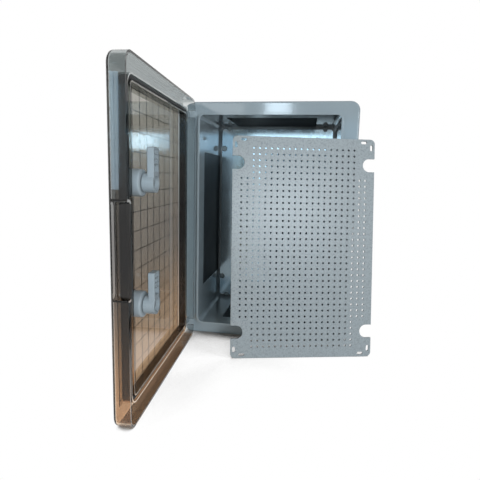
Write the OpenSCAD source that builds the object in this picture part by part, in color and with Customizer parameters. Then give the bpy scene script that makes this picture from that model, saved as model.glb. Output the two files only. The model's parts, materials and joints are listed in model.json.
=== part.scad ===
// Wall-mounting ABS electrical cabinet with a smoked see-through door that stands open.
// The perforated panel has been taken out and leans on the front of the cabinet.
// X points right, Y towards the wall and Z up. The origin is on the wall, midway between the
// four wall fixings.

/* [Cabinet] */
// Width of the cabinet and of its door
cab_w = 306; // [290:1:340]
// Height of the cabinet and of its door
cab_h = 430; // [415:1:470]
// Depth of the base, from the front flange to the wall
base_d = 176; // [160:1:210]
// Thickness of the moulded walls
wall = 3.5; // [3:0.1:4.5]
// Thickness of the front flange
flange_t = 4; // [3:0.1:4.4]
// Width of the front flange beside the opening
side_flange = 30.5; // [28:0.5:34]
// Width of the front flange above and below the opening
end_flange = 24.5; // [22:0.5:30]
// Corner radius of the flange and the door
corner_r = 16; // [12:0.5:20]
// Radius of the flange's front edge
flange_edge_r = 3; // [1:0.5:3.5]
// Corner radius of the opening
opening_r = 8; // [6:0.5:12]
// Height of the sealing lip round the opening
lip_h = 10; // [4:0.5:11]
// Thickness of the sealing lip
lip_t = 4; // [3:0.5:5]

/* [Cable entries] */
// Length of the window in each side wall
side_entry_len = 255; // [180:1:262]
// Length of the window in the top and bottom walls
end_entry_len = 165; // [100:1:170]
// Distance from the flange's front to the windows
entry_start = 25.5; // [24:0.5:60]
// Distance from the windows to the back wall
entry_back = 8; // [6:0.5:40]
// Corner radius of the windows
entry_r = 4; // [2:0.5:8]
// Overlap of an entry plate past its window, front and back
entry_rim = 5; // [4:0.5:5]
// Overlap of an entry plate past its window, at the two ends
entry_end_rim = 12; // [10:0.5:14]
// Thickness of an entry plate
entry_plate_t = 3; // [2:0.5:5]
// Thickness of the seal under an entry plate
entry_seal_t = 2; // [1:0.5:3]
// Distance between the two screws at one end of an entry plate
entry_screw_pitch = 100; // [60:1:120]

/* [Mounting plate] */
// Gap between the steel mounting plate and the cabinet's side walls
mount_side_gap = 4.5; // [3:0.5:10]
// Gap between the steel mounting plate and the cabinet's top and bottom walls
mount_end_gap = 5.5; // [4.5:0.5:12]
// Thickness of the steel mounting plate
mount_t = 2; // [1.5:0.1:3]
// Height of the stand-offs that carry the mounting plate
standoff_h = 8.5; // [6:0.5:20]
// Distance from a mounting plate screw to the plate's side edge
mount_screw_side = 32; // [26:1:60]
// Distance from a mounting plate screw to the plate's top or bottom edge
mount_screw_end = 20; // [14:1:30]
// Distance from a wall fixing to the plate's top or bottom edge
fixing_from_end = 41.5; // [36:0.5:60]
// Distance from a wall fixing to the plate's side edge
fixing_from_side = 5; // [2:0.5:8]
// Diameter of a wall fixing hole
fixing_hole_d = 5.5; // [4:0.5:6]
// Height of a wall fixing's boss inside the cabinet
fixing_boss_h = 4; // [2:0.5:5.5]
// Thickness of the skin that closes a wall fixing hole until it is used
fixing_skin = 1.2; // [0.8:0.1:2]
// Distance from a locating peg to the plate's side edge
peg_from_side = 16; // [12:1:22]

/* [Perforated panel] */
// Width of the perforated panel
panel_w = 240; // [232:1:242]
// Height of the perforated panel
panel_h = 368; // [360:1:376]
// Thickness of the perforated panel
panel_t = 3; // [2:0.5:4]
// Corner radius of the perforated panel
panel_r = 8; // [4:0.5:10]
// Spacing of the holes
hole_pitch = 10; // [9:0.1:10.2]
// Diameter of a hole
hole_d = 3.4; // [2.5:0.1:5]
// Holes in a full row
hole_columns = 22; // [16:1:22]
// Rows of holes
hole_rows = 34; // [20:1:34]
// Rows at the top and at the bottom that are shortened for the side notches
short_rows = 5; // [5:1:8]
// Holes left out at each end of a short row
short_row_holes_out = 2; // [2:1:4]
// Length of a corner slot
slot_len = 10; // [7:0.5:12]
// Width of a corner slot
slot_w = 4.6; // [3:0.2:5]
// Distance from a slot that runs across to the panel's side edge
slot_across_in = 18.6; // [16:0.1:22]
// Distance from a slot that runs up to the panel's end edge
slot_up_in = 14.3; // [13:0.1:18]
// Distance from a slot's middle line to the edge that it runs along
slot_edge = 5.6; // [4.5:0.1:7]
// Width of a side notch
notch_w = 22; // [16:0.5:24]
// Depth of a side notch
notch_depth = 20; // [14:0.5:22]
// Distance from a side notch's middle to the panel's end edge
notch_from_end = 43.5; // [38:0.5:50]
// Angle at which the panel stands to the cabinet's front
panel_yaw = 14.4; // [8:0.1:20]
// Angle at which the panel leans back
panel_lean = 6.7; // [4:0.1:10]
// Place of the panel's left foot, to the right of the cabinet's middle
panel_foot_x = -43; // [-60:1:-20]

/* [Door] */
// Depth of the door tray
door_d = 22.6; // [21.5:0.1:24]
// Thickness of the door
door_t = 3; // [2.5:0.1:4]
// Gap between the door's rim and the flange
door_gap = 1.4; // [1.3:0.1:1.6]
// Radius of the door's front edge
door_edge_r = 5; // [4.5:0.1:7]
// Angle at which the door stands open
door_open = 87.7; // [80:0.1:95]
// Distance from the hinge axis to the cabinet's left side
hinge_in = 6; // [5:0.1:6.2]
// Distance from the hinge axis to the flange
hinge_out = 18; // [17.5:0.1:18.5]
// Distance from a hinge's middle to the top or bottom of the cabinet
hinge_from_end = 24; // [22:0.5:60]
// Height of a hinge lug on the base
lug_h = 10; // [8:0.5:16]
// Diameter of a hinge pin
pin_d = 4; // [3:0.5:4]
// Length of a hinge pin in the door on each side of the lug
pin_grip = 6; // [5:0.5:7]
// Height of the finger pull in the door's free edge
pull_h = 110; // [50:1:120]
// Depth of the finger pull
pull_depth = 9; // [6:0.5:14]
// Corner radius of the finger pull
pull_r = 6; // [4:0.5:8]
// Room between the sealing lip and the ribs that hold the gasket
channel_gap = 1.2; // [0.8:0.1:1.5]
// Thickness of the ribs that hold the gasket
rib_t = 2; // [1.5:0.1:2.5]
// Distance that the gasket's ribs reach past the lip's front
rib_overlap = 0.8; // [0.5:0.1:2]

/* [Latches] */
// Distance from a latch to the door's free edge
latch_from_edge = 52; // [50:0.5:60]
// Distance between the two latches
latch_spread = 150; // [130:1:170]
// Diameter of the sleeve that goes through the door
sleeve_d = 19.8; // [18:0.1:21]
// Diameter of the spindle
spindle_d = 14; // [12:0.5:15]
// Diameter of the bezel outside the door
bezel_d = 38; // [34:0.5:42]
// Height of the bezel
bezel_h = 4; // [3:0.5:6]
// Diameter of the nut inside the door
nut_d = 33; // [28:0.5:34]
// Height of the nut
nut_h = 17; // [12:0.5:18]
// Thickness of the seal under the nut
latch_seal_t = 2; // [1:0.5:3]
// Distance from the door's inner face to the far side of the cam
latch_reach = 34.5; // [34:0.5:35.5]
// Thickness of the cam's arm
cam_t = 8; // [7:0.5:10.5]
// Width of the cam's arm
cam_w = 18; // [14:0.5:20]
// Distance from the spindle to the cam's tip
cam_len = 42; // [34:0.5:42.5]
// Diameter of the cam's hub
hub_d = 23; // [21:0.5:26]
// Width of the spindle's square end
square_w = 8; // [6:0.5:9]

/* [Hidden] */
$fn = 64;

abs_grey = "#98a4aa";
latch_grey = "#a4aaab";
dark_abs = "#23282b";
rubber_black = "#151617";
zinc_steel = "#b9c3c8";
smoke_clear = [0.45, 0.42, 0.40, 0.45];

// Clearances: still pieces that fit, running pieces, and an overshoot for cuts
fit_gap = 0.1;
run_gap = 0.05;
cut = 1;

// The cabinet as seen from the front, with depth measured forwards from the flange
opening_w = cab_w - 2 * side_flange;
opening_h = cab_h - 2 * end_flange;
back_in = -(base_d - wall);

// A cable entry's window, plate and recess, as depths
entry_front_z = -entry_start;
entry_back_z = back_in + entry_back;
recess_gap = 0.5;
recess_front_z = entry_front_z + entry_rim + recess_gap;
recess_back_z = entry_back_z - entry_rim - recess_gap;
entry_mid_z = (entry_front_z + entry_back_z) / 2;
entry_r_step = 2;
entry_plate_r = entry_r + entry_r_step;
entry_out = wall + entry_seal_t + entry_plate_t;
dish_gap = 0.5;
dish_inner_r = 1;

// Fasteners: M4 pan heads
screw_d = 4;
screw_head_d = 8;
screw_head_h = 2.6;
screw_head_rim = 0.6;
screw_slot_w = 1;
screw_tip_gap = 1;
entry_screw_bite = 2.5;
mount_screw_bite = 7;

// The mounting plate and the moulded bosses round it
mount_w = opening_w - 2 * mount_side_gap;
mount_h = opening_h - 2 * mount_end_gap;
mount_back_z = back_in + standoff_h;
mount_front_z = mount_back_z + mount_t;
mount_screw_x = mount_w / 2 - mount_screw_side;
mount_screw_y = mount_h / 2 - mount_screw_end;
standoff_d = 12;
fixing_x = mount_w / 2 - fixing_from_side;
fixing_y = mount_h / 2 - fixing_from_end;
fixing_boss_wall = 2.75;
fixing_boss_d = fixing_hole_d + 2 * fixing_boss_wall;
peg_x = mount_w / 2 - peg_from_side;
peg_d = 8;
boss_gap = 0.6;
mount_r = 6;

// The door, as depths, and its hinge axis
rim_z = door_gap;
door_out_z = door_gap + door_d;
door_in_z = door_out_z - door_t;
hinge_x = -cab_w / 2 + hinge_in;
hinge_y = cab_h / 2 - hinge_from_end;
knuckle_d = 8;
lug_gap = 0.5;
hinge_bore_d = pin_d + 2 * run_gap;
door_bore_d = pin_d + run_gap;
boss_end = 2;
boss_grip = pin_grip + boss_end;
gasket_gap = 0.4;

// The latches, as depths
latch_x = cab_w / 2 - latch_from_edge;
nut_out_z = door_in_z - latch_seal_t;
nut_in_z = nut_out_z - nut_h;
cam_far_z = door_in_z - latch_reach;
arm_near_z = cam_far_z + cam_t;
hub_gap = 1;
hub_near_z = nut_in_z - hub_gap;
bezel_rim = 1.5;
nut_edge_r = 3;
latch_seal_rim = 0.5;
spindle_recess = 1.5;
spindle_bore_len = 14;
key_w = 2.4;
key_depth = 3;
key_margin = 1.4;
cam_tip_r = 2;
cam_screw_seat = 5;
cam_seat_wall = 3;
cam_screw_room = 1;
cam_seat_d = hub_d - 2 * cam_seat_wall;

// Pockets moulded into the cam: pairs of small ones at the tip and a long one behind them
pocket_depth = 4;
pocket_wall = 2.3;
pocket_web = 1.4;
pocket_h = 4.6;
pocket_pairs = 3;
long_pocket_h = 8;

// The strike pocket leaves room round the corner of the turning cam
strike_gap = 1.5;
strike_room = 2;
cam_reach = norm([cam_len, cam_w / 2]);
strike_below = cam_w / 2 + strike_room;
strike_above = sqrt(pow(cam_reach, 2) - pow(opening_w / 2 - latch_x, 2)) + strike_room;
strike_end = latch_x + cam_reach + strike_room;

// The panel's back leans on the flange's right edge or on the lip, whichever stands further out
lean_gap = 0.3;
lip_reach = lip_h + (opening_w / 2 + lip_t - panel_foot_x) * tan(panel_yaw);
edge_reach = (cab_w / 2 - panel_foot_x) * tan(panel_yaw);
lean_reach = panel_h * sin(panel_lean) / cos(panel_yaw);
panel_foot_y = -base_d - lean_gap - max(lip_reach, edge_reach) - lean_reach;

// Places: the front view's middle, the door, one latch, and one of the four walls
module face_on()
    translate([0, -base_d, 0])
        rotate([90, 0, 0])
            children();

module on_door()
    face_on()
        translate([hinge_x, 0, hinge_out])
            rotate([0, -door_open, 0])
                translate([-hinge_x, 0, -hinge_out])
                    children();

module on_latch(up)
    on_door()
        translate([latch_x, up * latch_spread / 2, 0])
            children();

// Walls are numbered right, top, left and bottom; x then points out of the wall
function across(side) = side % 2 == 0 ? opening_w : opening_h;
function flange_beside(side) = side % 2 == 0 ? side_flange : end_flange;
function entry_len(side) = side % 2 == 0 ? side_entry_len : end_entry_len;
function entry_plate_len(side) = entry_len(side) + 2 * entry_end_rim;

module on_wall(side)
    rotate([0, 0, 90 * side])
        translate([across(side) / 2, 0, 0])
            children();

// Rounded rectangle about the origin
module rounded_rect(w, h, r) {
    square([w - 2 * r, h], center = true);
    square([w, h - 2 * r], center = true);
    for (x = [-1, 1], y = [-1, 1])
        translate([x * (w / 2 - r), y * (h / 2 - r)])
            circle(r);
}

// Profile swept round a rounded rectangle; its x is the distance out from the corner centres
module sweep_round(w, h, r)
    for (side = [0 : 3]) {
        wide = side % 2 == 0 ? w : h;
        long = side % 2 == 0 ? h : w;
        rotate([0, 0, 90 * side])
            translate([wide / 2 - r, long / 2 - r, 0]) {
                rotate([90, 0, 0])
                    linear_extrude(long - 2 * r)
                        children();
                rotate_extrude(angle = 90)
                    children();
            }
    }

// Slab on z = 0 with its far outer edge rounded
module rounded_slab(w, h, r, t, edge_r) {
    linear_extrude(t - edge_r)
        rounded_rect(w, h, r);
    linear_extrude(t)
        rounded_rect(w - 2 * edge_r, h - 2 * edge_r, r - edge_r);
    sweep_round(w, h, r)
        translate([r - edge_r, t - edge_r])
            intersection() {
                circle(edge_r);
                square(edge_r);
            }
}

// Rounded pad in a wall, between two distances out of it and two depths
module wall_pad(x0, x1, len, z0, z1, r)
    translate([x0, 0, (z0 + z1) / 2])
        rotate([90, 0, 90])
            linear_extrude(x1 - x0)
                rounded_rect(len, z1 - z0, r);

// The same point mirrored into the four quarters of the front view
module four(x, y)
    for (sx = [-1, 1], sy = [-1, 1])
        translate([sx * x, sy * y, 0])
            children();

// Slot with round ends, along x
module round_slot(len, w) {
    square([len - w, w], center = true);
    for (x = [-1, 1])
        translate([x * (len - w) / 2, 0])
            circle(d = w);
}

// Domed disc on z = 0, with an upright rim
module domed_disc(d, h, rim) {
    rise = h - rim;
    dome_r = (pow(d / 2, 2) + pow(rise, 2)) / (2 * rise);
    rotate_extrude()
        intersection() {
            translate([0, h - dome_r])
                circle(dome_r);
            square([d / 2, h]);
        }
}

// Pan-head screw that points down -z from its seat at z = 0
module pan_screw(shank_d, shank_len, head_d, head_h) {
    translate([0, 0, -shank_len])
        cylinder(d = shank_d, h = shank_len);
    difference() {
        domed_disc(head_d, head_h, screw_head_rim);
        translate([0, 0, head_h])
            cube([head_d, screw_slot_w, head_h], center = true);
    }
}

// Base: moulded tub with a wide front flange, a sealing lip and cored-out corners
module window_pad(side, x0, x1, inset)
    on_wall(side)
        wall_pad(x0, x1, entry_len(side) - 2 * inset, entry_back_z + inset, entry_front_z - inset,
            max(entry_r - inset, dish_inner_r));

module entry_recess(side)
    on_wall(side)
        wall_pad(wall, flange_beside(side) + cut, entry_plate_len(side) + 2 * recess_gap,
            recess_back_z, recess_front_z, entry_plate_r + recess_gap);

module entry_screw_places(side)
    on_wall(side)
        for (sy = [-1, 1], sz = [-1, 1])
            translate([wall, sy * (entry_len(side) + entry_end_rim) / 2,
                entry_mid_z + sz * entry_screw_pitch / 2])
                rotate([0, 90, 0])
                    children();

// Hollow behind the flange in front of each recess
module band_core(side)
    on_wall(side)
        translate([wall, -entry_len(side) / 2, recess_front_z - cut])
            cube([flange_beside(side) - 2 * wall, entry_len(side), -flange_t - recess_front_z + cut]);

// Pocket in the right wall that a cam turns into, and the block round it
module strike(up, skin)
    translate([opening_w / 2 - cut, up * latch_spread / 2 - strike_below - skin,
        cam_far_z - strike_gap - skin])
        cube([strike_end - opening_w / 2 + cut + skin, strike_below + strike_above + 2 * skin,
            cam_t + 2 * strike_gap + 2 * skin]);

// Hollow corners, open to the wall side
module corner_cores()
    translate([0, 0, -base_d - cut])
        linear_extrude(base_d + cut - flange_t)
            difference() {
                rounded_rect(cab_w - 2 * wall, cab_h - 2 * wall, corner_r - wall);
                rounded_rect(opening_w + 2 * wall, opening_h + 2 * wall, opening_r + wall);
                square([cab_w, side_entry_len + 2 * (entry_end_rim + recess_gap + wall)], center = true);
                square([end_entry_len + 2 * (entry_end_rim + recess_gap + wall), cab_h], center = true);
            }

module hinge_axis_at(y, len)
    translate([hinge_x, y - len / 2, hinge_out])
        rotate([-90, 0, 0])
            children();

module hinge_lug(y) {
    hinge_axis_at(y, lug_h)
        cylinder(d = knuckle_d, h = lug_h);
    translate([hinge_x - knuckle_d / 2, y - lug_h / 2, -flange_t])
        cube([knuckle_d, lug_h, hinge_out + flange_t]);
}

module back_bosses()
    translate([0, 0, back_in - wall / 2]) {
        four(mount_screw_x, mount_screw_y)
            cylinder(d = standoff_d, h = standoff_h + wall / 2);
        four(fixing_x, fixing_y)
            cylinder(d = fixing_boss_d, h = fixing_boss_h + wall / 2);
        four(peg_x, mount_h / 2)
            cylinder(d = peg_d, h = standoff_h + mount_t + wall / 2);
    }

module tub()
    difference() {
        union() {
            translate([0, 0, -base_d])
                rounded_slab(cab_w, cab_h, corner_r, base_d, flange_edge_r);
            linear_extrude(lip_h)
                rounded_rect(opening_w + 2 * lip_t, opening_h + 2 * lip_t, opening_r + lip_t);
        }
        translate([0, 0, back_in])
            linear_extrude(base_d + lip_h)
                rounded_rect(opening_w, opening_h, opening_r);
        corner_cores();
        for (side = [0 : 3]) {
            entry_recess(side);
            window_pad(side, -cut, wall + cut, 0);
        }
        difference() {
            for (side = [0 : 3])
                band_core(side);
            for (up = [-1, 1])
                strike(up, wall);
        }
        for (up = [-1, 1])
            strike(up, 0);
    }

module base()
    color(abs_grey)
        face_on()
            difference() {
                union() {
                    tub();
                    back_bosses();
                    for (y = [-hinge_y, hinge_y])
                        hinge_lug(y);
                }
                four(mount_screw_x, mount_screw_y)
                    translate([0, 0, mount_back_z - mount_screw_bite])
                        cylinder(d = screw_d + 2 * run_gap, h = mount_screw_bite + cut);
                four(fixing_x, fixing_y)
                    translate([0, 0, -base_d - cut])
                        cylinder(d = fixing_hole_d, h = cut + wall + fixing_boss_h - fixing_skin);
                for (side = [0 : 3])
                    entry_screw_places(side)
                        translate([0, 0, -entry_screw_bite - run_gap])
                            cylinder(d = screw_d + 2 * run_gap, h = entry_screw_bite + cut);
                for (y = [-hinge_y, hinge_y])
                    hinge_axis_at(y, lug_h + 2 * cut)
                        cylinder(d = hinge_bore_d, h = lug_h + 2 * cut);
            }

// Cable entries: a dark plate over each window, with a seal and a dished middle that fills the window
module entry_sheet(side, x0, thickness)
    difference() {
        on_wall(side)
            wall_pad(x0, x0 + thickness, entry_plate_len(side), entry_back_z - entry_rim,
                entry_front_z + entry_rim, entry_plate_r);
        entry_screw_places(side)
            cylinder(d = screw_d + 2 * fit_gap, h = entry_seal_t + entry_plate_t + cut);
    }

module entry_plate(side)
    color(dark_abs)
        face_on()
            difference() {
                union() {
                    entry_sheet(side, wall + entry_seal_t, entry_plate_t);
                    window_pad(side, dish_gap, entry_out, dish_gap);
                }
                window_pad(side, dish_gap + entry_plate_t, entry_out + cut, dish_gap + entry_plate_t);
            }

module entry_seal(side)
    color(rubber_black)
        face_on()
            difference() {
                entry_sheet(side, wall, entry_seal_t);
                window_pad(side, wall - cut, wall + entry_seal_t + cut, 0);
            }

module entry_screws()
    color(zinc_steel)
        face_on()
            for (side = [0 : 3])
                entry_screw_places(side)
                    translate([0, 0, entry_seal_t + entry_plate_t])
                        pan_screw(screw_d, entry_seal_t + entry_plate_t + entry_screw_bite,
                            screw_head_d, screw_head_h);

// Mounting plate: galvanised sheet, notched round the moulded bosses
module mounting_plate()
    color(zinc_steel)
        face_on()
            translate([0, 0, mount_back_z])
                linear_extrude(mount_t)
                    difference() {
                        rounded_rect(mount_w, mount_h, mount_r);
                        four(fixing_x, fixing_y)
                            circle(d = fixing_boss_d + 2 * boss_gap);
                        four(peg_x, mount_h / 2)
                            circle(d = peg_d + 2 * boss_gap);
                        four(mount_screw_x, mount_screw_y)
                            circle(d = screw_d + 2 * fit_gap);
                    }

module mounting_plate_screws()
    color(zinc_steel)
        face_on()
            translate([0, 0, mount_front_z])
                four(mount_screw_x, mount_screw_y)
                    pan_screw(screw_d, mount_t + mount_screw_bite - screw_tip_gap,
                        screw_head_d, screw_head_h);

// Perforated panel: a grid of holes, corner slots and round-ended side notches
function is_short(row) = row < short_rows || row >= hole_rows - short_rows;

module hole_grid()
    for (row = [0 : hole_rows - 1]) {
        skip = is_short(row) ? short_row_holes_out : 0;
        for (column = [skip : hole_columns - 1 - skip])
            translate([(column - (hole_columns - 1) / 2) * hole_pitch,
                (row - (hole_rows - 1) / 2) * hole_pitch])
                circle(d = hole_d);
    }

module panel_outline()
    difference() {
        rounded_rect(panel_w, panel_h, panel_r);
        hole_grid();
        four(panel_w / 2 - slot_across_in, panel_h / 2 - slot_edge)
            round_slot(slot_len, slot_w);
        four(panel_w / 2 - slot_edge, panel_h / 2 - slot_up_in)
            rotate(90)
                round_slot(slot_len, slot_w);
        four(panel_w / 2, panel_h / 2 - notch_from_end)
            round_slot(2 * notch_depth, notch_w);
    }

module perforated_panel()
    color(abs_grey)
        translate([panel_foot_x, panel_foot_y, -cab_h / 2])
            rotate([0, 0, panel_yaw])
                rotate([-panel_lean, 0, 0])
                    translate([panel_w / 2, 0, panel_h / 2])
                        rotate([90, 0, 0])
                            linear_extrude(panel_t)
                                panel_outline();

// Door: smoked tray with a finger pull, latch holes, gasket ribs and hinge bosses
module door_block()
    translate([0, 0, rim_z])
        rounded_slab(cab_w, cab_h, corner_r, door_d, door_edge_r);

module door_hollow()
    translate([0, 0, rim_z - cut])
        rounded_slab(cab_w - 2 * door_t, cab_h - 2 * door_t, corner_r - door_t,
            door_d - door_t + cut, door_edge_r - door_t);

// Finger pull with a skin round it, open at the door's free edge and rim
module finger_pull(skin)
    translate([cab_w / 2, 0, rim_z - cut])
        linear_extrude(door_in_z - rim_z + cut)
            rounded_rect(2 * (pull_depth + skin), pull_h + 2 * skin, pull_r + skin);

// Ribs and gasket run round the sealing lip; u is the distance out from the opening's corner centres
module channel_ring(u0, u1, z0)
    sweep_round(opening_w, opening_h, opening_r)
        translate([u0, z0])
            square([u1 - u0, door_in_z - z0]);

module gasket_ribs() {
    inner = opening_r - channel_gap;
    outer = opening_r + lip_t + channel_gap;
    channel_ring(inner - rib_t, inner, lip_h - rib_overlap);
    channel_ring(outer, outer + rib_t, lip_h - rib_overlap);
}

module hinge_cutout(y)
    translate([-cab_w / 2 - cut, y - lug_h / 2 - lug_gap, rim_z - cut])
        cube([hinge_in + cut + knuckle_d / 2 + lug_gap, lug_h + 2 * lug_gap, door_d + 2 * cut]);

module hinge_boss(y)
    hinge_axis_at(y, lug_h + 2 * boss_grip)
        cylinder(d = knuckle_d, h = lug_h + 2 * boss_grip);

module door()
    color(smoke_clear)
        on_door()
            difference() {
                union() {
                    difference() {
                        door_block();
                        door_hollow();
                    }
                    gasket_ribs();
                    intersection() {
                        door_block();
                        union() {
                            finger_pull(door_t);
                            for (y = [-hinge_y, hinge_y])
                                hinge_boss(y);
                        }
                    }
                }
                finger_pull(0);
                for (y = [-hinge_y, hinge_y]) {
                    hinge_cutout(y);
                    hinge_axis_at(y, lug_h + 2 * (pin_grip + lug_gap))
                        cylinder(d = door_bore_d, h = lug_h + 2 * (pin_grip + lug_gap));
                }
                for (up = [-1, 1])
                    translate([latch_x, up * latch_spread / 2, door_in_z - cut])
                        cylinder(d = sleeve_d + 2 * fit_gap, h = door_t + 2 * cut);
            }

// Gasket: black strip between the ribs with a round back that meets the lip
module door_gasket()
    color(rubber_black)
        on_door() {
            inner = opening_r - channel_gap + fit_gap;
            outer = opening_r + lip_t + channel_gap - fit_gap;
            bead_r = (outer - inner) / 2;
            bead_z = lip_h + gasket_gap + bead_r;
            channel_ring(inner, outer, bead_z);
            sweep_round(opening_w, opening_h, opening_r)
                translate([inner + bead_r, bead_z])
                    circle(bead_r);
        }

module hinge_pin(y)
    color(zinc_steel)
        on_door()
            hinge_axis_at(y, lug_h + 2 * pin_grip)
                cylinder(d = pin_d, h = lug_h + 2 * pin_grip);

// Latches: bezel and sleeve through the door, seal, nut, and a spindle that turns the cam
module latch_bezel(up)
    color(latch_grey)
        on_latch(up)
            difference() {
                union() {
                    translate([0, 0, nut_in_z])
                        cylinder(d = sleeve_d, h = door_out_z - nut_in_z);
                    translate([0, 0, door_out_z])
                        domed_disc(bezel_d, bezel_h, bezel_rim);
                }
                translate([0, 0, nut_in_z - cut])
                    cylinder(d = spindle_d + 2 * run_gap, h = door_out_z + bezel_h - nut_in_z + 2 * cut);
            }

module ring_round_sleeve(d, z0, z1)
    difference() {
        translate([0, 0, z0])
            cylinder(d = d, h = z1 - z0);
        translate([0, 0, z0 - cut])
            cylinder(d = sleeve_d + 2 * fit_gap, h = z1 - z0 + 2 * cut);
    }

module latch_seal(up)
    color(rubber_black)
        on_latch(up)
            ring_round_sleeve(nut_d + 2 * latch_seal_rim, nut_out_z, door_in_z);

module latch_nut(up)
    color(latch_grey)
        on_latch(up) {
            ring_round_sleeve(nut_d - 2 * nut_edge_r, nut_in_z, nut_out_z);
            ring_round_sleeve(nut_d, nut_in_z + nut_edge_r, nut_out_z);
            rotate_extrude()
                translate([nut_d / 2 - nut_edge_r, nut_in_z + nut_edge_r])
                    intersection() {
                        circle(nut_edge_r);
                        translate([0, -nut_edge_r])
                            square(nut_edge_r);
                    }
        }

module latch_spindle(up)
    color(latch_grey)
        on_latch(up)
            difference() {
                union() {
                    translate([0, 0, nut_in_z])
                        cylinder(d = spindle_d, h = door_out_z + bezel_h - spindle_recess - nut_in_z);
                    translate([-square_w / 2, -square_w / 2, cam_far_z + cam_screw_seat])
                        cube([square_w, square_w, nut_in_z - cam_far_z - cam_screw_seat]);
                }
                translate([0, 0, door_out_z + bezel_h - spindle_recess])
                    cube([spindle_d - 2 * key_margin, key_w, 2 * key_depth], center = true);
                translate([0, 0, cam_far_z])
                    cylinder(d = screw_d + 2 * run_gap, h = cam_screw_seat + spindle_bore_len);
            }

// Cam: hub and a straight arm that points up, with moulded pockets in its far side
module cam_pockets() {
    small_w = (cam_w - pocket_web) / 2 - pocket_wall;
    step = pocket_h + pocket_web;
    first_y = cam_len - pocket_wall - pocket_h / 2;
    for (x = [-1, 1], row = [0 : pocket_pairs - 1])
        translate([x * (small_w + pocket_web) / 2, first_y - row * step])
            square([small_w, pocket_h], center = true);
    translate([0, first_y + pocket_h / 2 - pocket_pairs * step - long_pocket_h / 2])
        square([cam_w - 2 * pocket_wall, long_pocket_h], center = true);
}

module latch_cam(up)
    color(latch_grey)
        on_latch(up)
            difference() {
                union() {
                    translate([0, 0, cam_far_z])
                        linear_extrude(cam_t) {
                            circle(d = hub_d);
                            translate([0, cam_len / 2])
                                rounded_rect(cam_w, cam_len, cam_tip_r);
                        }
                    translate([0, 0, arm_near_z])
                        cylinder(d = hub_d, h = hub_near_z - arm_near_z);
                }
                translate([-square_w / 2 - run_gap, -square_w / 2 - run_gap, cam_far_z - cut])
                    cube([square_w + 2 * run_gap, square_w + 2 * run_gap,
                        hub_near_z - cam_far_z + 2 * cut]);
                translate([0, 0, cam_far_z - cut])
                    cylinder(d = cam_seat_d, h = cam_screw_seat + cut);
                translate([0, 0, cam_far_z - cut])
                    linear_extrude(pocket_depth + cut)
                        cam_pockets();
            }

module latch_screw(up)
    color(zinc_steel)
        on_latch(up)
            translate([0, 0, cam_far_z + cam_screw_seat])
                rotate([180, 0, 0])
                    pan_screw(screw_d, spindle_bore_len - screw_tip_gap, cam_seat_d - 2 * cam_screw_room,
                        screw_head_h);

base();
entry_plate(0);  // entry_plate_right
entry_plate(1);  // entry_plate_top
entry_plate(2);  // entry_plate_left
entry_plate(3);  // entry_plate_bottom
entry_seal(0);  // entry_seal_right
entry_seal(1);  // entry_seal_top
entry_seal(2);  // entry_seal_left
entry_seal(3);  // entry_seal_bottom
entry_screws();
mounting_plate();
mounting_plate_screws();
perforated_panel();
door();
door_gasket();
hinge_pin(hinge_y);  // hinge_pin_top
hinge_pin(-hinge_y);  // hinge_pin_bottom
latch_bezel(1);  // latch_bezel_upper
latch_bezel(-1);  // latch_bezel_lower
latch_seal(1);  // latch_seal_upper
latch_seal(-1);  // latch_seal_lower
latch_nut(1);  // latch_nut_upper
latch_nut(-1);  // latch_nut_lower
latch_spindle(1);  // latch_spindle_upper
latch_spindle(-1);  // latch_spindle_lower
latch_cam(1);  // latch_cam_upper
latch_cam(-1);  // latch_cam_lower
latch_screw(1);  // latch_screw_upper
latch_screw(-1);  // latch_screw_lower
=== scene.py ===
"""Finishes, stage and camera for a wall-mounting ABS electrical cabinet that stands open.

The solids of the cabinet come in as they are. Each operator below dresses one piece or one group of
like pieces, and the last one builds the stage. Every length is in metres.
"""

import json
import math

import bpy
from mathutils import Matrix, Vector


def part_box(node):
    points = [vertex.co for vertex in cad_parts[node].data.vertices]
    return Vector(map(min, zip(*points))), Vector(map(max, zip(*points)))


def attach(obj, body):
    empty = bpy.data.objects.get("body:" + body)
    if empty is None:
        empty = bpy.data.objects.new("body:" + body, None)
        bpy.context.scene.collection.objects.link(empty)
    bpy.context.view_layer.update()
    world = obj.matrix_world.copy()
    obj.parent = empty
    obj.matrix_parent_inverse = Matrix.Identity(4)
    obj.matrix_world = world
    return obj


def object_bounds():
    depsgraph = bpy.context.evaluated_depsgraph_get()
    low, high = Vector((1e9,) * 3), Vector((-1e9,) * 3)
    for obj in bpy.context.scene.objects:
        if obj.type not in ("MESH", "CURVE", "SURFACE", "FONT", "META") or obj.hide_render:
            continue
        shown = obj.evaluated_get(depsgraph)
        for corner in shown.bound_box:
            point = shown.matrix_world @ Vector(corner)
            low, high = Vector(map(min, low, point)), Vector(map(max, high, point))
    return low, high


bl_info = {
    "name": "Electrical cabinet",
    "version": (1, 0, 0),
    "blender": (4, 5, 0),
    "location": "3D View > Sidebar > Cabinet",
    "description": "Dresses an ABS electrical cabinet with a smoked door and builds its stage",
    "category": "Object",
}

MM = 0.001

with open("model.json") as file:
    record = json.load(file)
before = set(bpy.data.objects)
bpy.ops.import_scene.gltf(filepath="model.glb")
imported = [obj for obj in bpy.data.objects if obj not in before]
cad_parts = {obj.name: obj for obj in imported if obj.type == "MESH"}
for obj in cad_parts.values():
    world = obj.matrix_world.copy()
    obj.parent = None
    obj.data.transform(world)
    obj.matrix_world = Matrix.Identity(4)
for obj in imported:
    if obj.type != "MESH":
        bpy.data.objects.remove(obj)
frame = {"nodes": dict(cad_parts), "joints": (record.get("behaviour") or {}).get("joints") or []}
cad_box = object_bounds()
base_low, base_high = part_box("base")
joints = {joint["name"]: joint for joint in frame["joints"]}

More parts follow.
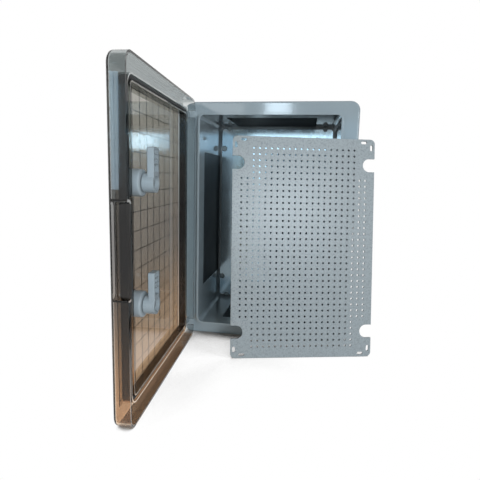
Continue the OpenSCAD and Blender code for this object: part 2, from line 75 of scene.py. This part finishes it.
WALLS = ("right", "top", "left", "bottom")
LATCHES = ("upper", "lower")
PINS = ("top", "bottom")


def linear(hex_colour):
    """Linear red, green and blue of an sRGB hex colour."""
    shares = [int(hex_colour[i:i + 2], 16) / 255 for i in (1, 3, 5)]
    return tuple(s / 12.92 if s <= 0.04045 else ((s + 0.055) / 1.055) ** 2.4 for s in shares)


def opaque(colour):
    """A colour property as the four numbers that a colour socket takes."""
    return (*colour, 1.0)


WHITE = opaque(linear("#FFFFFF"))


def add(tree, kind, inputs=None, **settings):
    """Adds a node with its settings; each input is a value or a socket to link from."""
    node = tree.nodes.new(kind)
    for name, value in settings.items():
        setattr(node, name, value)
    for name, value in (inputs or {}).items():
        if isinstance(value, bpy.types.NodeSocket):
            tree.links.new(value, node.inputs[name])
        else:
            node.inputs[name].default_value = value
    return node


def start_material(name):
    """An empty material, its tree and the Object coordinates that its patterns read."""
    material = bpy.data.materials.new(name)
    material.use_nodes = True
    tree = material.node_tree
    tree.nodes.clear()
    return material, tree, add(tree, "ShaderNodeTexCoord").outputs["Object"]


def varied(tree, colour, pattern, low, high):
    """A colour that a pattern from 0 to 1 scales from the share low to the share high."""
    shade = add(tree, "ShaderNodeMapRange", {"Value": pattern, "To Min": low, "To Max": high})
    tint = add(tree, "ShaderNodeVectorMath", {0: colour, "Scale": shade.outputs["Result"]},
               operation="SCALE")
    return tint.outputs["Vector"]


def share_along(tree, place, axis, low, high):
    """A share from 0 to 1 that grows along an axis from low to high."""
    parts = add(tree, "ShaderNodeSeparateXYZ", {"Vector": place})
    share = add(tree, "ShaderNodeMapRange", {
        "Value": parts.outputs[axis], "From Min": low, "From Max": high})
    return share.outputs["Result"]


def seen_by_eye(tree):
    """1 for a ray that shows something to the eye: straight, mirrored or through glass."""
    ray = add(tree, "ShaderNodeLightPath")
    mirrored = add(tree, "ShaderNodeMath", {
        0: ray.outputs["Is Camera Ray"], 1: ray.outputs["Is Glossy Ray"]}, operation="MAXIMUM")
    seen = add(tree, "ShaderNodeMath", {
        0: mirrored.outputs["Value"], 1: ray.outputs["Is Transmission Ray"]}, operation="MAXIMUM")
    return seen.outputs["Value"]


def dress(names, material):
    """Gives CAD nodes their finish."""
    for name in names:
        for slot in frame["nodes"][name].material_slots:
            slot.material = material


def sides(pattern, words):
    """Node names made from a pattern and a list of words."""
    return [pattern % word for word in words]


def moulded_plastic(name, colour, roughness, cloud, grain, edge, ior=1.54):
    """Injection-moulded plastic: faint clouds in the colour, a fine tool grain and soft edges.

    cloud and grain are (size, amount) pairs; edge is the radius that rounds the light on edges. The
    grain is drawn coarser than life so that it shows. A low ior stands for a matt skin that reflects
    little.
    """
    material, tree, place = start_material(name)
    clouds = add(tree, "ShaderNodeTexNoise", {"Vector": place, "Scale": 1 / cloud[0], "Detail": 4.0})
    gloss = add(tree, "ShaderNodeMapRange", {
        "Value": clouds.outputs["Fac"], "To Min": roughness - 0.05, "To Max": roughness + 0.07})
    specks = add(tree, "ShaderNodeTexNoise", {"Vector": place, "Scale": 1 / grain[0], "Detail": 2.0})
    soft_edge = add(tree, "ShaderNodeBevel", {"Radius": edge}, samples=4)
    bump = add(tree, "ShaderNodeBump", {
        "Height": specks.outputs["Fac"], "Normal": soft_edge.outputs["Normal"],
        "Strength": grain[1], "Distance": 0.2 * MM})
    plastic = add(tree, "ShaderNodeBsdfPrincipled", {
        "Base Color": varied(tree, tuple(colour), clouds.outputs["Fac"], 1 - cloud[1], 1 + cloud[1]),
        "Roughness": gloss.outputs["Result"], "Normal": bump.outputs["Normal"], "IOR": ior})
    add(tree, "ShaderNodeOutputMaterial", {"Surface": plastic.outputs["BSDF"]})
    return material


def zinc_plated_steel(name, colour, roughness, spangle):
    """Zinc on steel: bright metal in a crystal pattern whose cells differ a little in tone and gloss.

    spangle is the cells' size and how far their tone differs.
    """
    material, tree, place = start_material(name)
    cells = add(tree, "ShaderNodeTexVoronoi", {"Vector": place, "Scale": 1 / spangle[0]})
    cell = add(tree, "ShaderNodeSeparateColor", {"Color": cells.outputs["Color"]})
    gloss = add(tree, "ShaderNodeMapRange", {
        "Value": cell.outputs["Green"], "To Min": roughness - 0.03, "To Max": roughness + 0.03})
    metal = add(tree, "ShaderNodeBsdfPrincipled", {
        "Base Color": varied(tree, tuple(colour), cell.outputs["Red"], 1 - spangle[1], 1 + spangle[1]),
        "Roughness": gloss.outputs["Result"], "Metallic": 1.0})
    add(tree, "ShaderNodeOutputMaterial", {"Surface": metal.outputs["BSDF"]})
    return material


def foamed_rubber(name, colour):
    """Foamed sealing rubber: matt black with fine open pores, drawn coarser than life to show; the
    colour darkens in the pore hollows as painted shade.
    """
    material, tree, place = start_material(name)
    pores = add(tree, "ShaderNodeTexVoronoi", {"Vector": place, "Scale": 1 / (1.2 * MM)})
    bump = add(tree, "ShaderNodeBump", {
        "Height": pores.outputs["Distance"], "Strength": 0.25, "Distance": 0.3 * MM})
    # Painted shade: the colour darkens in the pore hollows
    rubber = add(tree, "ShaderNodeBsdfPrincipled", {
        "Base Color": varied(tree, tuple(colour), pores.outputs["Distance"], 0.7, 1.3),
        "Roughness": 0.62, "IOR": 1.5, "Normal": bump.outputs["Normal"]})
    add(tree, "ShaderNodeOutputMaterial", {"Surface": rubber.outputs["BSDF"]})
    return material


def smoked_polycarbonate(name, stops, low_z, high_z, hinge_wall_painted_light, painted_light_from_y):
    """Clear smoked sheet: glossy and see-through; its tint, cool at the top and browner towards the
    foot, is painted light.

    stops are (share of the height, tint) pairs, and they carry the sheet's painted light. The wall by
    the hinges, past the given y in the open door's own place, takes a lighter tint as painted light
    for the lit flange seen through it. Lamps shine through the sheet.
    """
    material, tree, place = start_material(name)
    blend = 4 * MM
    ramp = add(tree, "ShaderNodeValToRGB", {"Fac": share_along(tree, place, "Z", low_z, high_z)})
    ramp.color_ramp.interpolation = "EASE"
    while len(ramp.color_ramp.elements) < len(stops):
        ramp.color_ramp.elements.new(1.0)
    for element, (where, colour) in zip(ramp.color_ramp.elements, stops):
        element.position = where
        element.color = opaque(colour)
    tint = add(tree, "ShaderNodeMix", {
        0: share_along(tree, place, "Y", painted_light_from_y - blend, painted_light_from_y),
        6: ramp.outputs["Color"], 7: opaque(hinge_wall_painted_light)}, data_type="RGBA")
    glass = add(tree, "ShaderNodeBsdfPrincipled", {
        "Base Color": tint.outputs[2], "Roughness": 0.02, "IOR": 1.4, "Transmission Weight": 1.0})
    lamps_pass = add(tree, "ShaderNodeBsdfTransparent", {"Color": opaque(linear("#F9F9F9"))})
    ray = add(tree, "ShaderNodeLightPath")
    both = add(tree, "ShaderNodeMixShader", {
        0: ray.outputs["Is Shadow Ray"], 1: glass.outputs["BSDF"], 2: lamps_pass.outputs["BSDF"]})
    add(tree, "ShaderNodeOutputMaterial", {"Surface": both.outputs["Shader"]})
    return material


def clear_film(name, colour, foot_painted_shade_colour, low_z, high_z):
    """Clear blown film: thin, with a little haze and faint creases; its foot is darker and warmer with
    painted shade.

    A ray takes the tint at both faces of the film.
    """
    material, tree, place = start_material(name)
    creases = add(tree, "ShaderNodeTexNoise", {"Vector": place, "Scale": 1 / (60 * MM), "Detail": 3.0})
    smoke = add(tree, "ShaderNodeMix", {
        0: share_along(tree, place, "Z", low_z, high_z),
        6: opaque(foot_painted_shade_colour), 7: opaque(colour)}, data_type="RGBA")
    tint = varied(tree, smoke.outputs[2], creases.outputs["Fac"], 0.94, 1.04)
    clear = add(tree, "ShaderNodeBsdfTransparent", {"Color": tint})
    haze = add(tree, "ShaderNodeBsdfPrincipled", {"Base Color": tint, "Roughness": 0.2})
    both = add(tree, "ShaderNodeMixShader", {
        0: 0.05, 1: clear.outputs["BSDF"], 2: haze.outputs["BSDF"]})
    add(tree, "ShaderNodeOutputMaterial", {"Surface": both.outputs["Shader"]})
    return material


def printed_ink(name, colour):
    """Thin dark ink of the grid printed on the door's film, a little uneven along its lines."""
    material, tree, place = start_material(name)
    wear = add(tree, "ShaderNodeTexNoise", {"Vector": place, "Scale": 1 / (9 * MM), "Detail": 2.0})
    ink = add(tree, "ShaderNodeBsdfPrincipled", {
        "Base Color": varied(tree, tuple(colour), wear.outputs["Fac"], 0.7, 1.3), "Roughness": 0.5})
    add(tree, "ShaderNodeOutputMaterial", {"Surface": ink.outputs["BSDF"]})
    return material


class CabinetFinish(bpy.types.PropertyGroup):
    """Colours and gloss of the cabinet's pieces."""
    abs_colour: bpy.props.FloatVectorProperty(
        name="ABS colour", description="Blue-grey of the moulded base",
        subtype="COLOR", min=0, max=1, default=linear("#949FA3"))
    abs_roughness: bpy.props.FloatProperty(
        name="ABS roughness", description="Roughness of the polished moulded base",
        subtype="FACTOR", min=0, max=1, default=0.07)
    panel_colour: bpy.props.FloatVectorProperty(
        name="Panel colour", description="Blue-grey of the perforated panel",
        subtype="COLOR", min=0, max=1, default=linear("#999FA0"))
    panel_roughness: bpy.props.FloatProperty(
        name="Panel roughness", description="Roughness of the perforated panel",
        subtype="FACTOR", min=0, max=1, default=0.27)
    # Near black that is partly the entry plates' own colour and partly painted shade inside the
    # cabinet
    entry_black_and_painted_shade: bpy.props.FloatVectorProperty(
        name="Entry plate colour", description="Near black of the cable entry plates",
        subtype="COLOR", min=0, max=1, default=linear("#252B2F"))
    sheet_colour: bpy.props.FloatVectorProperty(
        name="Sheet colour", description="Bright zinc of the mounting plate",
        subtype="COLOR", min=0, max=1, default=linear("#A8BCC6"))
    zinc_colour: bpy.props.FloatVectorProperty(
        name="Zinc colour", description="Zinc of the screws and the hinge pins",
        subtype="COLOR", min=0, max=1, default=linear("#B4BABC"))
    rubber_colour: bpy.props.FloatVectorProperty(
        name="Rubber colour", description="Black of the gasket and the seals",
        subtype="COLOR", min=0, max=1, default=linear("#171819"))
    latch_colour: bpy.props.FloatVectorProperty(
        name="Latch colour", description="Grey of the nylon latches",
        subtype="COLOR", min=0, max=1, default=linear("#9EA7AB"))
    # Painted light and shade in the door's tint: grey and cool at the top, darker at mid-height, a
    # light warm tan at the foot
    smoke_top_painted_light: bpy.props.FloatVectorProperty(
        name="Smoke at the top", description="Tint of the door near its top",
        subtype="COLOR", min=0, max=1, default=linear("#A8AEAE"))
    smoke_middle_painted_light: bpy.props.FloatVectorProperty(
        name="Smoke at mid-height", description="Tint of the door at mid-height",
        subtype="COLOR", min=0, max=1, default=linear("#949290"))
    smoke_foot_painted_light: bpy.props.FloatVectorProperty(
        name="Smoke at the foot", description="Tint of the door near its foot",
        subtype="COLOR", min=0, max=1, default=linear("#E0C5AA"))
    # Painted light: a lighter tint on the hinge wall, for the lit flange seen through it
    hinge_wall_painted_light: bpy.props.FloatVectorProperty(
        name="Clear wall", description="Tint of the door's thin wall by the hinges",
        subtype="COLOR", min=0, max=1, default=linear("#D4D8D8"))


class CabinetFilm(bpy.types.PropertyGroup):
    """The protective film outside the door, with a printed grid."""
    width: bpy.props.FloatProperty(
        name="Width", description="Width of the film", unit="LENGTH", default=252 * MM)
    height: bpy.props.FloatProperty(
        name="Height", description="Height of the film", unit="LENGTH", default=388 * MM)
    pitch: bpy.props.FloatProperty(
        name="Pitch", description="Distance between two lines", unit="LENGTH", default=25 * MM)
    upright_width: bpy.props.FloatProperty(
        name="Upright width",
        description="Width of an upright line, drawn broad to show at a sharp angle",
        unit="LENGTH", default=2.0 * MM)
    level_width: bpy.props.FloatProperty(
        name="Level width", description="Width of a level line", unit="LENGTH", default=0.9 * MM)
    thickness: bpy.props.FloatProperty(
        name="Thickness", description="Thickness of the film, and of its ink",
        unit="LENGTH", default=0.1 * MM)
    aside: bpy.props.FloatProperty(
        name="Aside", description="Distance from the door's middle to the film's, away from the hinge",
        unit="LENGTH", default=10 * MM)
    face: bpy.props.FloatProperty(
        name="Door face", description="Distance from the hinge axis to the shut door's outer face",
        unit="LENGTH", default=6 * MM)
    tint: bpy.props.FloatVectorProperty(
        name="Film tint", description="Tint that one face of the film gives",
        subtype="COLOR", min=0, max=1, default=linear("#F0EBE4"))
    # Painted shade: a darker, warmer tint at the film's foot
    foot_painted_shade_tint: bpy.props.FloatVectorProperty(
        name="Foot tint", description="Tint that one face of the film gives at its foot",
        subtype="COLOR", min=0, max=1, default=linear("#E8E1D7"))
    colour: bpy.props.FloatVectorProperty(
        name="Ink colour", description="Dark grey of the printed lines",
        subtype="COLOR", min=0, max=1, default=linear("#332F2C"))


class CabinetStage(bpy.types.PropertyGroup):
    """Camera, lamps and floor."""
    camera_place: bpy.props.FloatVectorProperty(
        name="Camera place", description="Where the camera stands", subtype="TRANSLATION",
        unit="LENGTH", default=(72.6 * MM, -901.1 * MM, 87.1 * MM))
    camera_yaw: bpy.props.FloatProperty(
        name="Camera yaw", description="Turn of the camera to the left", subtype="ANGLE",
        default=math.radians(9.48))
    camera_pitch: bpy.props.FloatProperty(
        name="Camera pitch", description="How far the camera looks down", subtype="ANGLE",
        default=math.radians(8.18))
    camera_roll: bpy.props.FloatProperty(
        name="Camera roll", description="Roll of the camera", subtype="ANGLE",
        default=math.radians(1.37))
    camera_lens: bpy.props.FloatProperty(
        name="Lens", description="Focal length on a 36 mm sensor, in millimetres", default=30.31)
    camera_shift: bpy.props.FloatVectorProperty(
        name="Shift", description="Shift that the photograph's framing needs", size=2,
        default=(0.0014, -0.0147))
    floor_colour: bpy.props.FloatVectorProperty(
        name="Floor colour", description="Colour of the pale floor",
        subtype="COLOR", min=0, max=1, default=linear("#ACA7A2"))
    floor_glow: bpy.props.FloatProperty(
        name="Floor whiteness", description="Share of plain white that the eye sees in the floor",
        subtype="FACTOR", min=0, max=1, default=1.0)
    floor_reach: bpy.props.FloatProperty(
        name="Floor reach", description="How far the floor reaches each way", unit="LENGTH",
        default=6.0)
    sky: bpy.props.FloatProperty(
        name="Sky", description="Strength of the even light from all sides", min=0, default=0.22)


class CABINET_OT_base(bpy.types.Operator):
    """Dresses the moulded base in glossy blue-grey ABS"""
    bl_idname = "cabinet.base"
    bl_label = "Base"

    def execute(self, context):
        look = context.scene.cabinet_finish
        # ABS from a polished mould: an even colour with clear, slightly wavy reflections
        dress(["base"], moulded_plastic(
            "Moulded ABS, polished blue-grey", look.abs_colour, look.abs_roughness,
            cloud=(70 * MM, 0.03), grain=(1.6 * MM, 0.05), edge=1.6 * MM))
        return {"FINISHED"}


class CABINET_OT_entries(bpy.types.Operator):
    """Dresses the cable entry plates, their seals and their screws"""
    bl_idname = "cabinet.entries"
    bl_label = "Cable entries"

    def execute(self, context):
        look = context.scene.cabinet_finish
        # ABS from a satin mould, matt enough to show no reflections; its near black is partly the
        # plates' own colour and partly painted shade
        dress(sides("entry_plate_%s", WALLS), moulded_plastic(
            "Moulded ABS, satin charcoal", look.entry_black_and_painted_shade, 0.5,
            cloud=(40 * MM, 0.06), grain=(1.5 * MM, 0.15), edge=0.6 * MM, ior=1.25))
        dress(sides("entry_seal_%s", WALLS), foamed_rubber(
            "Foamed rubber, entry seals", look.rubber_colour))
        # Bright zinc plate: small hard glints
        dress(["entry_screws"], zinc_plated_steel(
            "Zinc-plated steel, entry screws", look.zinc_colour, 0.3, spangle=(1.5 * MM, 0.05)))
        return {"FINISHED"}


class CABINET_OT_mounting_plate(bpy.types.Operator):
    """Dresses the galvanised mounting plate and its screws"""
    bl_idname = "cabinet.mounting_plate"
    bl_label = "Mounting plate"

    def execute(self, context):
        look = context.scene.cabinet_finish
        # Hot-dip galvanised sheet: soft mirror images, broken up by faint crystals
        dress(["mounting_plate"], zinc_plated_steel(
            "Galvanised sheet steel", look.sheet_colour, 0.14, spangle=(9 * MM, 0.03)))
        dress(["mounting_plate_screws"], zinc_plated_steel(
            "Zinc-plated steel, plate screws", look.zinc_colour, 0.3, spangle=(1.5 * MM, 0.05)))
        return {"FINISHED"}


class CABINET_OT_perforated_panel(bpy.types.Operator):
    """Dresses the loose perforated panel in grained blue-grey ABS"""
    bl_idname = "cabinet.perforated_panel"
    bl_label = "Perforated panel"

    def execute(self, context):
        look = context.scene.cabinet_finish
        # ABS from a grained mould: mottled, with a broad soft sheen; the mottling too is drawn coarser
        # than life so that it shows
        dress(["perforated_panel"], moulded_plastic(
            "Moulded ABS, grained blue-grey", look.panel_colour, look.panel_roughness,
            cloud=(2.6 * MM, 0.28), grain=(2.4 * MM, 0.35), edge=0.5 * MM))
        return {"FINISHED"}


class CABINET_OT_door(bpy.types.Operator):
    """Dresses the smoked door, its gasket and its hinge pins"""
    bl_idname = "cabinet.door"
    bl_label = "Door"

    def execute(self, context):
        look = context.scene.cabinet_finish
        # Moulded polycarbonate: a smoked, glassy sheet with sharp reflections; its tints by height are
        # painted light and shade
        dress(["door"], smoked_polycarbonate(
            "Smoked polycarbonate",
            [(0.0, look.smoke_foot_painted_light), (0.5, look.smoke_middle_painted_light), (0.85, look.smoke_top_painted_light)],
            base_low.z, base_high.z, look.hinge_wall_painted_light, joints["door_hinge"]["pos_m"][1]))
        dress(["door_gasket"], foamed_rubber("Foamed rubber, door gasket", look.rubber_colour))
        dress(sides("hinge_pin_%s", PINS), zinc_plated_steel(
            "Zinc-plated steel, hinge pins", look.zinc_colour, 0.25, spangle=(1.5 * MM, 0.04)))
        return {"FINISHED"}


class CABINET_OT_latches(bpy.types.Operator):
    """Dresses the two quarter-turn latches"""
    bl_idname = "cabinet.latches"
    bl_label = "Latches"

    def execute(self, context):
        look = context.scene.cabinet_finish
        # Moulded nylon: light grey with a soft, waxy sheen
        nylon = moulded_plastic(
            "Moulded nylon, latch grey", look.latch_colour, 0.36,
            cloud=(12 * MM, 0.04), grain=(1.2 * MM, 0.1), edge=0.5 * MM)
        for piece in ("bezel", "nut", "spindle", "cam"):
            dress(sides("latch_" + piece + "_%s", LATCHES), nylon)
        dress(sides("latch_seal_%s", LATCHES), foamed_rubber(
            "Foamed rubber, latch seals", look.rubber_colour))
        dress(sides("latch_screw_%s", LATCHES), zinc_plated_steel(
            "Zinc-plated steel, cam screws", look.zinc_colour, 0.3, spangle=(1.5 * MM, 0.05)))
        return {"FINISHED"}


def film_tree():
    """Geometry Nodes for a film in the XZ plane, centred on the origin, with a grid on its front."""
    tree = bpy.data.node_groups.new("Printed film", "GeometryNodeTree")
    for name in ("Width", "Height", "Pitch", "Upright width", "Level width", "Thickness"):
        tree.interface.new_socket(name, in_out="INPUT", socket_type="NodeSocketFloat")
    for name in ("Film", "Ink"):
        tree.interface.new_socket(name, in_out="INPUT", socket_type="NodeSocketMaterial")
    tree.interface.new_socket("Geometry", in_out="OUTPUT", socket_type="NodeSocketGeometry")
    sizes = add(tree, "NodeGroupInput").outputs
    reach = {"X": sizes["Width"], "Z": sizes["Height"]}

    def sum_of(kind, first, second):
        """The result of one sum on two values or sockets."""
        return add(tree, "ShaderNodeMath", {0: first, 1: second}, operation=kind).outputs["Value"]

    lines = add(tree, "GeometryNodeJoinGeometry")
    front = sum_of("MULTIPLY", sizes["Thickness"], -1.0)
    for across, along, line in (("X", "Z", "Upright width"), ("Z", "X", "Level width")):
        spaces = sum_of("FLOOR", sum_of("DIVIDE", reach[across], sizes["Pitch"]), 0.0)
        half = sum_of("MULTIPLY", sum_of("MULTIPLY", spaces, sizes["Pitch"]), -0.5)
        first = add(tree, "ShaderNodeCombineXYZ", {across: half, "Y": front})
        step = add(tree, "ShaderNodeCombineXYZ", {across: sizes["Pitch"]})
        points = add(tree, "GeometryNodeMeshLine", {
            "Count": sum_of("ADD", spaces, 1.0), "Start Location": first.outputs["Vector"],
            "Offset": step.outputs["Vector"]})
        bar = add(tree, "ShaderNodeCombineXYZ", {
            across: sizes[line], "Y": sizes["Thickness"], along: reach[along]})
        strip = add(tree, "GeometryNodeMeshCube", {"Size": bar.outputs["Vector"]})
        row = add(tree, "GeometryNodeInstanceOnPoints", {
            "Points": points.outputs["Mesh"], "Instance": strip.outputs["Mesh"]})
        tree.links.new(row.outputs["Instances"], lines.inputs["Geometry"])
    real = add(tree, "GeometryNodeRealizeInstances", {"Geometry": lines.outputs["Geometry"]})
    inked = add(tree, "GeometryNodeSetMaterial", {
        "Geometry": real.outputs["Geometry"], "Material": sizes["Ink"]})
    sheet_size = add(tree, "ShaderNodeCombineXYZ", {
        "X": sizes["Width"], "Y": sizes["Thickness"], "Z": sizes["Height"]})
    sheet = add(tree, "GeometryNodeMeshCube", {"Size": sheet_size.outputs["Vector"]})
    clear = add(tree, "GeometryNodeSetMaterial", {
        "Geometry": sheet.outputs["Mesh"], "Material": sizes["Film"]})
    film = add(tree, "GeometryNodeJoinGeometry")
    for part in (clear, inked):
        tree.links.new(part.outputs["Geometry"], film.inputs["Geometry"])
    add(tree, "NodeGroupOutput", {"Geometry": film.outputs["Geometry"]})
    return tree


def grown(name, tree, values):
    """A plain mesh object made by a Geometry Nodes tree with these input values."""
    seed = bpy.data.objects.new(name + "_seed", bpy.data.meshes.new(name + "_seed"))
    bpy.context.scene.collection.objects.link(seed)
    modifier = seed.modifiers.new("Grow", "NODES")
    modifier.node_group = tree
    for item in tree.interface.items_tree:
        if item.in_out == "INPUT":
            modifier[item.identifier] = values[item.name]
    graph = bpy.context.evaluated_depsgraph_get()
    mesh = bpy.data.meshes.new_from_object(seed.evaluated_get(graph))
    bpy.data.objects.remove(seed)
    piece = bpy.data.objects.new(name, mesh)
    bpy.context.scene.collection.objects.link(piece)
    return piece


def opened_door():
    """Takes a point on the shut door to its place on the open door."""
    hinge = joints["door_hinge"]
    axis_point = Matrix.Translation(hinge["pos_m"])
    turn = Matrix.Rotation(-math.radians(hinge["range_deg"][0]), 4, Vector(hinge["axis"]))
    return axis_point @ turn @ axis_point.inverted()


class CABINET_OT_door_film(bpy.types.Operator):
    """Makes the protective film outside the door, with its printed grid"""
    bl_idname = "cabinet.door_film"
    bl_label = "Door film"

    def execute(self, context):
        film = context.scene.cabinet_film
        # The tint reaches its full value halfway up the door; below that it darkens to the foot as
        # painted shade
        clear = clear_film("Clear protective film", film.tint, film.foot_painted_shade_tint, base_low.z, 0.0)
        piece = grown("door_film", film_tree(), {
            "Width": film.width, "Height": film.height, "Pitch": film.pitch,
            "Upright width": film.upright_width, "Level width": film.level_width,
            "Thickness": film.thickness, "Film": clear,
            "Ink": printed_ink("Printed film ink", film.colour)})
        face_y = joints["door_hinge"]["pos_m"][1] - film.face
        outside = Matrix.Translation((film.aside, face_y - film.thickness / 2, 0))
        piece.data.transform(opened_door() @ outside)
        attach(piece, "door")
        return {"FINISHED"}


def floor_finish(colour, glow):
    """Pale floor that keeps its shadows close to the object and looks nearly white to the eye."""
    material, tree, _ = start_material("Pale studio floor")
    matt = add(tree, "ShaderNodeBsdfDiffuse", {"Color": opaque(colour)})
    white = add(tree, "ShaderNodeEmission", {"Color": WHITE, "Strength": 1.0})
    open_sky = add(tree, "ShaderNodeAmbientOcclusion", {"Distance": 0.25}, samples=8)
    lit = add(tree, "ShaderNodeMapRange", {
        "Value": open_sky.outputs["AO"], "From Min": 0.28, "From Max": 0.44,
        "To Min": 0.0, "To Max": glow})
    share = add(tree, "ShaderNodeMath", {0: seen_by_eye(tree), 1: lit.outputs["Result"]},
                operation="MULTIPLY")
    both = add(tree, "ShaderNodeMixShader", {
        0: share.outputs["Value"], 1: matt.outputs["BSDF"], 2: white.outputs["Emission"]})
    add(tree, "ShaderNodeOutputMaterial", {"Surface": both.outputs["Shader"]})
    return material


def studio_floor(reach, finish):
    """A square floor under the cabinet."""
    corners = [(-reach, -reach), (reach, -reach), (reach, reach), (-reach, reach)]
    mesh = bpy.data.meshes.new("studio_floor")
    mesh.from_pydata([(x, y, cad_box[0].z) for x, y in corners], [], [(0, 1, 2, 3)])
    mesh.materials.append(finish)
    floor = bpy.data.objects.new("studio_floor", mesh)
    bpy.context.scene.collection.objects.link(floor)
    return floor


def studio_world(strength):
    """Even light from all sides, and plain white where the eye sees past the object."""
    world = bpy.data.worlds.new("Studio")
    world.use_nodes = True
    tree = world.node_tree
    tree.nodes.clear()
    even = add(tree, "ShaderNodeBackground", {"Color": WHITE, "Strength": strength})
    white = add(tree, "ShaderNodeBackground", {"Color": WHITE, "Strength": 1.0})
    both = add(tree, "ShaderNodeMixShader", {
        0: seen_by_eye(tree), 1: even.outputs["Background"], 2: white.outputs["Background"]})
    add(tree, "ShaderNodeOutputWorld", {"Surface": both.outputs["Shader"]})
    return world


# Where the lamps aim
AIM = (0.0, -0.2, 0.0)
# Each lamp's name, place, width and height, watts, colour, and whether glossy pieces mirror it. The
# windows are mirrored by the piece that they are named for.
LAMPS = (
    ("key_lamp", (1.0, -2.1, 0.3), (0.8, 0.8), 20.5, "#EEF6FF", False),
    ("sheen_lamp", (0.9, -2.1, 0.36), (0.6, 0.4), 7.5, "#E8F4FC", True),
    ("fill_lamp", (-1.5, -1.6, 0.9), (1.6, 1.6), 1.0, "#FFF6EC", True),
    ("flange_window", (-0.17, -2.5, 0.62), (0.18, 0.24), 2.2, "#DCF0FF", True),
    ("plate_window", (-0.18, -2.5, 0.26), (0.86, 0.44), 2.4, "#D6F0FF", True),
    ("door_window", (-1.13, -2.5, 0.33), (0.4, 0.72), 5.0, "#BFE4FF", True),
    ("wall_window", (0.5, -2.5, 0.36), (0.5, 0.26), 0.5, "#74CCFA", True),
    ("top_window", (-0.63, -2.5, 0.58), (0.42, 0.3), 0.85, "#F0F6FA", True),
    ("back_lamp", (0.5, 2.2, 0.7), (1.2, 1.2), 28.0, "#FFFFFF", False),
)


def soft_lamp(name, place, size, power, colour, mirrored):
    """A soft box of this width and height at place, aimed at the cabinet."""
    lamp = bpy.data.lights.new(name, "AREA")
    lamp.shape = "RECTANGLE"
    lamp.size, lamp.size_y = size
    lamp.energy = power
    lamp.color = linear(colour)
    holder = bpy.data.objects.new(name, lamp)
    bpy.context.scene.collection.objects.link(holder)
    holder.location = place
    holder.rotation_euler = (Vector(AIM) - Vector(place)).to_track_quat("-Z", "Y").to_euler()
    holder.visible_glossy = mirrored
    holder.visible_transmission = mirrored


def photo_camera(stage):
    """A camera that stands and looks as the photograph's did."""
    camera = bpy.data.cameras.new("camera")
    camera.lens = stage.camera_lens
    camera.sensor_width = 36.0
    camera.shift_x, camera.shift_y = stage.camera_shift
    camera.clip_start = 0.01
    holder = bpy.data.objects.new("camera", camera)
    bpy.context.scene.collection.objects.link(holder)
    turn = (Matrix.Rotation(stage.camera_yaw, 4, "Z")
            @ Matrix.Rotation(math.pi / 2 - stage.camera_pitch, 4, "X")
            @ Matrix.Rotation(stage.camera_roll, 4, "Z"))
    holder.matrix_world = Matrix.Translation(stage.camera_place) @ turn
    return holder


class CABINET_OT_stage(bpy.types.Operator):
    """Builds the pale floor, the soft lamps and the camera"""
    bl_idname = "cabinet.stage"
    bl_label = "Stage"

    def execute(self, context):
        scene = context.scene
        stage = scene.cabinet_stage
        scene.view_settings.view_transform = "Standard"
        scene.world = studio_world(stage.sky)
        studio_floor(stage.floor_reach, floor_finish(stage.floor_colour, stage.floor_glow))
        for lamp in LAMPS:
            soft_lamp(*lamp)
        scene.camera = photo_camera(stage)
        return {"FINISHED"}


PIECES = (
    CABINET_OT_base, CABINET_OT_entries, CABINET_OT_mounting_plate, CABINET_OT_perforated_panel,
    CABINET_OT_door, CABINET_OT_latches, CABINET_OT_door_film, CABINET_OT_stage,
)


class CABINET_PT_pieces(bpy.types.Panel):
    """Lists the cabinet's pieces and its stage"""
    bl_label = "Electrical cabinet"
    bl_space_type = "VIEW_3D"
    bl_region_type = "UI"
    bl_category = "Cabinet"

    def draw(self, context):
        for piece in PIECES:
            self.layout.operator(piece.bl_idname)


GROUPS = {
    "cabinet_finish": CabinetFinish, "cabinet_film": CabinetFilm, "cabinet_stage": CabinetStage,
}


def register():
    for group in GROUPS.values():
        bpy.utils.register_class(group)
    for name, group in GROUPS.items():
        setattr(bpy.types.Scene, name, bpy.props.PointerProperty(type=group))
    for piece in PIECES:
        bpy.utils.register_class(piece)
    bpy.utils.register_class(CABINET_PT_pieces)


def unregister():
    bpy.utils.unregister_class(CABINET_PT_pieces)
    for piece in reversed(PIECES):
        bpy.utils.unregister_class(piece)
    for name in GROUPS:
        delattr(bpy.types.Scene, name)
    for group in GROUPS.values():
        bpy.utils.unregister_class(group)


def main():
    register()
    for piece in PIECES:
        family, name = piece.bl_idname.split(".")
        getattr(getattr(bpy.ops, family), name)()


if __name__ == "__main__":
    main()
